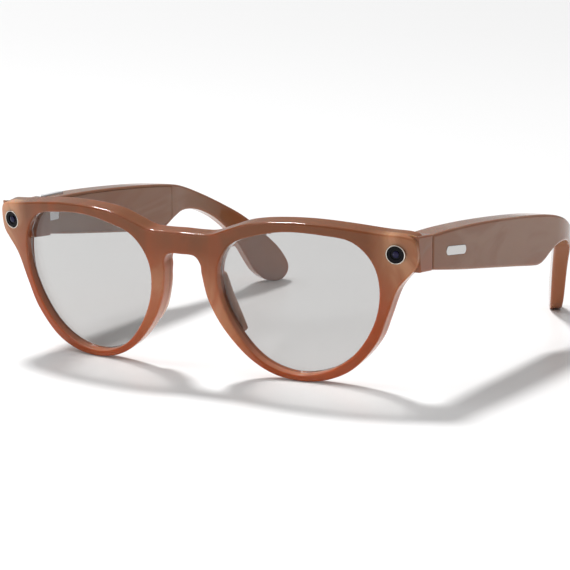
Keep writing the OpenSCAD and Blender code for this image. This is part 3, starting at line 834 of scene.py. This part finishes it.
class GLASSES_OT_front(bpy.types.Operator):
    """Builds the two shells of the front with their end blocks"""

    bl_idname = "glasses.front"
    bl_label = "Front shells"

    def execute(self, context):
        edge = context.scene.glasses_front.edge / MM
        whole = plate(
            "front_shell_visual", [front_outline(), lens_outline(1), lens_outline(-1)], FRONT_T, edge, 5
        )
        for side in (1, -1):
            bore = cylinder(BEZEL_R - 0.05, FRONT_T - 2, FRONT_T + 2, 64)
            bore.data.transform(Matrix.Translation((*leaning((side * EYE_X, EYE_Z)), 0)))
            combine(whole, bore, "DIFFERENCE")
        slice_at(whole, curve_steps(-69, 69, 1.5), 0)
        back = whole.copy()
        back.data = whole.data.copy()
        context.collection.objects.link(back)
        back.name = "rear_shell_visual"
        cut = FRONT_T - SEAM_DEPTH
        for piece, keep_top in ((whole, True), (back, False)):
            edit(piece)
            bpy.ops.mesh.bisect(
                plane_co=(0, 0, cut + (0.004 if keep_top else -0.004)), plane_no=(0, 0, 1), use_fill=True,
                clear_inner=keep_top, clear_outer=not keep_top,
            )
            done()
            if not keep_top:
                self.contact_recess(piece)
            bend_front(piece, FRONT_T, shaped=True)
        for side in (1, -1):
            combine(back, self.end_block(side), "UNION")
        polish(whole)
        polish(back)
        finish_piece(whole, "front", "caramel_front", material("caramel_front"), "front_shell")
        finish_piece(back, "front", "caramel_back", material("caramel_rear"), "rear_shell")
        return {"FINISHED"}

    def contact_recess(self, back):
        """Shallow recess and two wells for the charging contacts in the bridge's back."""
        height = leaning((0, 36))[1]
        combine(back, block((8.4, 2.6, 2), (0, height, -0.7)), "DIFFERENCE")
        for x in (-2.2, 2.2):
            well = cylinder(0.64, -1, 1.5)
            well.data.transform(Matrix.Translation((x, height, 0)))
            combine(back, well, "DIFFERENCE")

    def end_block(self, side):
        """Block behind a corner of the front, up to the hinge."""
        width = TEMPLE_X - END_BLOCK_X
        piece = plate("end_block", [END_BLOCK], width, 0.6, 4)
        slice_at(piece, curve_steps(END_BLOCK[0][0], SEAM_Y, 1.2), 0)

        def where(y, z, x):
            out = END_BLOCK_X + x
            limit = sag(out) - math.tan(LEAN) * (z - LEAN_Z) + 1.6
            return Vector((out, max(y, limit) - DEPTH_MID, z)) * MM

        place(piece, where)
        hole = cylinder(BARREL_R * MM, (HINGE_Z - 3.5) * MM, (HINGE_Z + 3.5) * MM)
        hole.data.transform(Matrix.Translation((HINGE_X * MM, FOLD[1], 0)))
        combine(piece, hole, "DIFFERENCE")
        return mirrored(piece, side)


class GLASSES_OT_lenses(bpy.types.Operator):
    """Builds both tinted lenses"""

    bl_idname = "glasses.lenses"
    bl_label = "Lenses"

    def execute(self, context):
        for word, side in SIDES.items():
            lens = plate(word + "_lens_visual", [lens_outline(side, 0.05)], 2.0, 0.25, 2)
            slice_at(lens, curve_steps(min(0, side * 60), max(0, side * 60), 1.5), 0)
            bend_front(lens, SEAM_DEPTH + 1)
            polish(lens)
            finish_piece(lens, "front", "lens", material("tinted_lens"), word + "_lens")
        return {"FINISHED"}


class GLASSES_OT_pads(bpy.types.Operator):
    """Builds both nose pads"""

    bl_idname = "glasses.pads"
    bl_label = "Nose pads"

    def execute(self, context):
        line = [(9.2, 27, 1.5), (10.2, 22.5, 2.3), (12.6, 16.6, 2.4), (15, 13, 1.7)]
        for word, side in SIDES.items():
            bpy.ops.object.select_all(action="DESELECT")
            bpy.ops.mesh.primitive_uv_sphere_add(segments=40, ring_count=28, radius=1)
            pad = bpy.context.object
            pad.name = pad.data.name = word + "_nose_pad_visual"

            def where(nx, ny, nz):
                t = (1 - nz) / 2 * 3
                k = min(int(t), 2)
                x, z, r = blend_point(
                    line[max(k - 1, 0)], line[k], line[k + 1], line[min(k + 2, 3)], t - k
                )
                ends = r / max(math.sqrt(max(1 - nz * nz, 0)), 0.55)
                u, v = leaning((x + nx * ends, z + nz * 1.6))
                rear = rim_depth(u, v)
                return front_place(side * u, v, max(rear - 0.3, rear + 1 + ny * ends))

            place(pad, where)
            if side < 0:
                edit(pad)
                bpy.ops.mesh.flip_normals()
                done()
            polish(pad, 60)
            finish_piece(pad, "front", "pad", material("milky_pad"), word + "_nose_pad")
        return {"FINISHED"}


def eye_matrix(side):
    """Places a part drawn about z, facing +z, at a round window."""
    u, v = leaning((EYE_X, EYE_Z))
    at = front_place(side * u, v, 0)
    turn = Matrix.Rotation(LEAN, 4, "X") @ Matrix.Rotation(side * EYE_TOE, 4, "Z")
    return Matrix.Translation(at) @ turn @ Matrix.Rotation(math.pi / 2, 4, "X") @ Matrix.Scale(MM, 4)


class GLASSES_OT_eyes(bpy.types.Operator):
    """Builds the bright rings and dark windows of the camera and the light"""

    bl_idname = "glasses.eyes"
    bl_label = "Camera and light"

    def execute(self, context):
        proud = context.scene.glasses_front.bezel_proud / MM
        for title, side in (("camera", 1), ("light", -1)):
            self.ring(title, side, proud)
            self.window(title, side)
            self.core(title, side)
        return {"FINISHED"}

    def ring(self, title, side, proud):
        ring = cylinder(BEZEL_R, -1.4, proud, 96)
        combine(ring, cylinder(WINDOW_R, -3, 3, 96), "DIFFERENCE")
        only(ring)
        soften = ring.modifiers.new("soften", "BEVEL")
        soften.width = 0.16
        soften.segments = 4
        bpy.ops.object.modifier_apply(modifier=soften.name)
        ring.name = ring.data.name = title + "_bezel_visual"
        ring.data.transform(eye_matrix(side))
        polish(ring)
        finish_piece(ring, "front", "bright_metal", material("window_ring"), title + "_bezel")

    def window(self, title, side):
        """Dark window with a dished middle."""
        disc = cylinder(WINDOW_R - 0.02, -1.2, 0.12, 96)
        edit(disc, pick=False)
        bpy.ops.mesh.select_mode(type="FACE")
        mesh = bmesh.from_edit_mesh(disc.data)
        for face in mesh.faces:
            face.select_set(face.normal.z > 0.9)
        bmesh.update_edit_mesh(disc.data)
        for inset, drop in ((0.12, 0.05), (0.75, 0), (0.1, -0.28), (0.35, -0.05)):
            bpy.ops.mesh.inset(thickness=inset, depth=0)
            bpy.ops.transform.translate(value=(0, 0, drop))
        done()
        disc.name = disc.data.name = title + "_window_visual"
        disc.data.transform(eye_matrix(side))
        polish(disc, 20)
        finish_piece(disc, "front", "dark_window", material("black_window"), title + "_window")

    def core(self, title, side):
        """Small domed lens in the middle of the window."""
        bpy.ops.object.select_all(action="DESELECT")
        bpy.ops.mesh.primitive_uv_sphere_add(segments=48, ring_count=24, radius=0.95)
        dome = bpy.context.object
        edit(dome)
        bpy.ops.mesh.bisect(plane_co=(0, 0, 0), plane_no=(0, 0, 1), use_fill=True, clear_inner=True)
        bpy.ops.mesh.select_all(action="SELECT")
        bpy.ops.transform.resize(value=(1, 1, 0.38))
        bpy.ops.transform.translate(value=(0, 0, -0.22))
        done()
        dome.name = dome.data.name = title + "_lens_dome"
        dome.data.transform(eye_matrix(side))
        polish(dome)
        finish_piece(dome, "front", "dark_window", material("coat_sheen_glass"))


def temple_outline():
    return open_curve(TOP_EDGE + TIP_END + LOW_EDGE[::-1], 5)


def bay_outline(y0, y1, inset):
    """Outline of the inner cover: the temple's side view, inset."""
    ys = [y0 + k * (y1 - y0) / 12 for k in range(13)]
    top = [(y, between(y, TOP_EDGE) - inset) for y in ys]
    low = [(y, between(y, LOW_EDGE) + inset) for y in ys[::-1]]
    return top + low


def bend_temple(piece):
    """Turns a flat side-view piece up onto the left temple. Its z = 0 is the inner face."""
    return place(piece, lambda y, z, x: temple_place(y, z, TEMPLE_T - x))


BEND_CUTS = curve_steps(18, 96, 6) + curve_steps(96, 124, 1.2) + curve_steps(124, 145, 3)


class GLASSES_OT_temples(bpy.types.Operator):
    """Builds the shells, covers and inlays of both temples"""

    bl_idname = "glasses.temples"
    bl_label = "Temples"

    def execute(self, context):
        for word, side in SIDES.items():
            self.shell(context, word, side)
            self.cover(context, word, side)
            self.inlay(word, side)
        return {"FINISHED"}

    def shell(self, context, word, side):
        sizes = context.scene.glasses_temple
        shell = plate(word + "_temple_shell_visual", [temple_outline()], TEMPLE_T, sizes.edge / MM, 5)
        seam = sizes.seam / MM
        outline = bay_outline(COVER_Y0 - seam, COVER_Y1 + seam, COVER_INSET - seam)
        recess = plate("recess", [outline], 2 * COVER_T, 0.05, 0)
        recess.data.transform(Matrix.Translation((0, 0, -COVER_T)))
        combine(shell, recess, "DIFFERENCE")
        for start, floor, height in BAYS:
            bay = plate("bay", [bay_outline(start, BAY_END, BAY_INSET)], height, 0.02, 0)
            bay.data.transform(Matrix.Translation((0, 0, floor)))
            combine(shell, bay, "DIFFERENCE")
        port = cylinder(MIC_R, 20, 33)
        port.data.transform(Matrix.Translation((MIC_Y, 0, MIC_IN)) @ Matrix.Rotation(-math.pi / 2, 4, "X"))
        combine(shell, port, "DIFFERENCE")
        well = plate("well", [inlay_outline(0.05)], 2, 0.02, 0)
        well.data.transform(Matrix.Translation((0, 0, TEMPLE_T - INLAY_DEPTH)))
        combine(shell, well, "DIFFERENCE")
        for k in range(SLOT_COUNT):
            slot = block((1.2, 12, 2), (SLOT_Y + SLOT_PITCH * k, 20, 4.3))
            combine(shell, slot, "DIFFERENCE")
        if side < 0:
            slot = block((12.3, 8, 2.3), (BUTTON_Y, 44.5, TEMPLE_T - (TEMPLE_X - BUTTON_X)))
            combine(shell, slot, "DIFFERENCE")
        slice_at(shell, BEND_CUTS, 0)
        bend_temple(shell)
        self.hinge_recess(shell)
        mirrored(shell, side)
        polish(shell)
        body = word + "_temple"
        finish_piece(shell, body, "caramel_back", material("caramel_back"), body + "_shell")

    def hinge_recess(self, shell):
        """Recess of the hinge barrels, the leaf and its neck in the temple's inner face."""
        hinge = Vector((HINGE_X, HINGE_Y - DEPTH_MID, HINGE_Z))
        barrels = cylinder(BARREL_R * MM, (HINGE_Z - 3.6) * MM, (HINGE_Z + 3.6) * MM)
        barrels.data.transform(HINGE_AT)
        neck = block(Vector((3.2, 5.2, 2.4)) * MM, (hinge + Vector((0, 1.6, 0))) * MM)
        leaf = block(Vector((3.24, 8.08, 4.48)) * MM, (hinge + Vector((0, 6.1, 0))) * MM)
        for tool in (barrels, neck, leaf):
            tool.data.transform(OPEN_TEMPLE)
            combine(shell, tool, "DIFFERENCE")

    def cover(self, context, word, side):
        outline = bay_outline(COVER_Y0, COVER_Y1, COVER_INSET)
        cover = plate(word + "_temple_cover_visual", [outline], COVER_T, 0.2, 2)
        if side > 0:
            opening = block((*SWITCH_SLOT, 4), (*SWITCH_AT, 0.6))
        else:
            opening = cylinder(STATUS_R, -1, 3)
            opening.data.transform(Matrix.Translation((*STATUS_AT, 0)))
        combine(cover, opening, "DIFFERENCE")
        slice_at(cover, BEND_CUTS, 0)
        bend_temple(cover)
        mirrored(cover, side)
        polish(cover)
        body = word + "_temple"
        finish_piece(cover, body, "caramel_back", material("caramel_back"), body + "_cover")

    def inlay(self, word, side):
        bar = plate(word + "_inlay_visual", [inlay_outline(0)], 0.5, 0.12, 3)
        bar.data.transform(Matrix.Translation((0, 0, TEMPLE_T - INLAY_DEPTH)))
        bend_temple(bar)
        mirrored(bar, side)
        polish(bar)
        finish_piece(bar, word + "_temple", "bright_metal", material("bright_ring"), word + "_inlay")


def inlay_outline(grow):
    """A plain bar with round ends, lying along the temple."""
    length, height = INLAY_SIZE
    half, radius, points = (length - height) / 2, height / 2 + grow, []
    for end, start in ((1, -90), (-1, 90)):
        for k in range(13):
            turn = math.radians(start + 15 * k)
            points.append((end * half + radius * math.cos(turn), radius * math.sin(turn)))
    c, s = math.cos(SLOPE), math.sin(SLOPE)
    return [(INLAY_AT[0] + x * c - y * s, INLAY_AT[1] + x * s + y * c) for x, y in points]


class GLASSES_OT_controls(bpy.types.Operator):
    """Builds the capture button and the power switch"""

    bl_idname = "glasses.controls"
    bl_label = "Controls"

    def execute(self, context):
        self.bar("capture_button", "capture_button", "button_metal", "satin_button", 0.45)
        self.bar("power_switch", "power_switch", "module_black", "black_part", 0.25)
        return {"FINISHED"}

    def bar(self, node, body, slot, finish, radius):
        piece = frame["nodes"][node].copy()
        piece.data = piece.data.copy()
        bpy.context.collection.objects.link(piece)
        piece.parent = None
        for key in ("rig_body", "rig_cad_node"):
            if key in piece:
                del piece[key]
        piece.name = piece.data.name = node + "_visual"
        edit(piece)
        bpy.ops.mesh.remove_doubles(threshold=1e-6)
        bpy.ops.mesh.tris_convert_to_quads()
        bpy.ops.mesh.dissolve_limited(angle_limit=math.radians(2))
        done()
        only(piece)
        soften = piece.modifiers.new("soften", "BEVEL")
        soften.width = radius * MM
        soften.segments = 4
        soften.limit_method = "ANGLE"
        bpy.ops.object.modifier_apply(modifier=soften.name)
        polish(piece)
        finish_piece(piece, body, slot, material(finish), node)


HIDDEN_FINISH = {
    "front": {
        "camera_module": "black_part", "capture_light": "milky_light", "front_flex": "amber_film",
        "bridge_microphone": "satin_steel", "charging_contacts": "plated_gold",
    },
    "temple": {
        "battery": "foil_pouch", "switch_board": "green_board", "main_board": "green_board",
        "shield_can": "satin_steel", "touch_sensor": "amber_film", "antenna": "plated_gold",
        "button_dome": "black_part", "status_light": "milky_light",
    },
    "paired": {
        "front_hinge_leaf": "satin_steel", "hinge_pin": "satin_steel", "front_hinge_screws": "satin_steel",
        "temple_hinge_leaf": "satin_steel", "temple_hinge_screws": "satin_steel",
        "core_wire": "satin_steel", "speaker": "black_part", "speaker_mesh": "dark_mesh",
        "microphone": "satin_steel", "temple_flex": "amber_film",
    },
}


class GLASSES_OT_inner(bpy.types.Operator):
    """Paints the hinges and the parts inside"""

    bl_idname = "glasses.inner"
    bl_label = "Hinges and inner parts"

    def execute(self, context):
        wanted = {**HIDDEN_FINISH["front"], **HIDDEN_FINISH["temple"]}
        for word in SIDES:
            for ending, finish in HIDDEN_FINISH["paired"].items():
                wanted[word + "_" + ending] = finish
        for node, finish in wanted.items():
            mesh = frame["nodes"][node].data
            mesh.materials.clear()
            mesh.materials.append(material(finish))
        return {"FINISHED"}


class GLASSES_OT_stage(bpy.types.Operator):
    """Sets out the pale floor, the soft light and the camera"""

    bl_idname = "glasses.stage"
    bl_label = "Stage"

    def execute(self, context):
        self.floor()
        self.light(context.scene)
        self.camera(context.scene)
        return {"FINISHED"}

    def floor(self):
        bpy.ops.object.select_all(action="DESELECT")
        bpy.ops.mesh.primitive_plane_add(size=12)
        floor = bpy.context.object
        floor.name = "floor"
        finish, shader = start_material("pale_floor")
        shader.inputs["Base Color"].default_value = (0.86, 0.86, 0.86, 1)
        shader.inputs["Roughness"].default_value = 0.35
        floor.data.materials.append(finish)

    def light(self, scene):
        world = bpy.data.worlds.new("white_room")
        world.use_nodes = True
        world.node_tree.nodes["Background"].inputs["Color"].default_value = (1, 1, 1, 1)
        world.node_tree.nodes["Background"].inputs["Strength"].default_value = 0.42
        scene.world = world
        sun = bpy.data.lights.new("key", "SUN")
        sun.energy = 3.2
        sun.angle = math.radians(9)
        self.aim(scene, sun, (-0.75, 0.7, 1.25))
        for name, at, size, power in (
            ("overhead", (-0.45, -0.25, 0.95), 0.7, 3),
            ("front_fill", (-0.7, -1.3, 0.35), 0.6, 1.5),
        ):
            lamp = bpy.data.lights.new(name, "AREA")
            lamp.size = size
            lamp.energy = power
            self.aim(scene, lamp, at)
        scene.view_settings.view_transform = "Standard"

    def aim(self, scene, lamp, at):
        """Hangs a lamp at a place, turned towards the glasses."""
        holder = bpy.data.objects.new(lamp.name, lamp)
        scene.collection.objects.link(holder)
        holder.location = at
        holder.rotation_euler = (-Vector(at)).to_track_quat("-Z", "Y").to_euler()

    def camera(self, scene):
        view = scene.glasses_stage
        target = Vector((10.0, 40 - DEPTH_MID, 19.8)) * MM
        back = Vector((
            math.sin(view.azimuth) * math.cos(view.elevation),
            -math.cos(view.azimuth) * math.cos(view.elevation),
            math.sin(view.elevation),
        ))
        camera = bpy.data.objects.new("camera", bpy.data.cameras.new("camera"))
        scene.collection.objects.link(camera)
        camera.location = target + back * view.distance
        camera.rotation_euler = (math.pi / 2 - view.elevation, 0, view.azimuth)
        camera.data.lens = view.focal
        camera.data.sensor_width = 36
        camera.data.clip_start = 0.01
        scene.camera = camera


class GLASSES_PT_panel(bpy.types.Panel):
    """Lists the building steps"""

    bl_label = "Smart glasses"
    bl_space_type = "VIEW_3D"
    bl_region_type = "UI"
    bl_category = "Glasses"

    def draw(self, context):
        for settings in (
            context.scene.glasses_front, context.scene.glasses_temple,
            context.scene.glasses_colours, context.scene.glasses_stage,
        ):
            for name in settings.__annotations__:
                self.layout.prop(settings, name)
        for step in STEPS:
            self.layout.operator(step.bl_idname)


STEPS = (
    GLASSES_OT_stage, GLASSES_OT_front, GLASSES_OT_lenses, GLASSES_OT_pads, GLASSES_OT_eyes,
    GLASSES_OT_temples, GLASSES_OT_controls, GLASSES_OT_inner,
)
SETTINGS = {
    "glasses_front": GLASSES_PG_front, "glasses_temple": GLASSES_PG_temple,
    "glasses_colours": GLASSES_PG_colours, "glasses_stage": GLASSES_PG_stage,
}


def register():
    for kind in (*SETTINGS.values(), *STEPS, GLASSES_PT_panel):
        bpy.utils.register_class(kind)
    for name, kind in SETTINGS.items():
        setattr(bpy.types.Scene, name, PointerProperty(type=kind))


def unregister():
    for name in SETTINGS:
        delattr(bpy.types.Scene, name)
    for kind in (GLASSES_PT_panel, *STEPS[::-1], *SETTINGS.values()):
        bpy.utils.unregister_class(kind)


def main():
    register()
    bpy.ops.glasses.stage()
    bpy.ops.glasses.front()
    bpy.ops.glasses.lenses()
    bpy.ops.glasses.pads()
    bpy.ops.glasses.eyes()
    bpy.ops.glasses.temples()
    bpy.ops.glasses.controls()
    bpy.ops.glasses.inner()


if __name__ == "__main__":
    main()
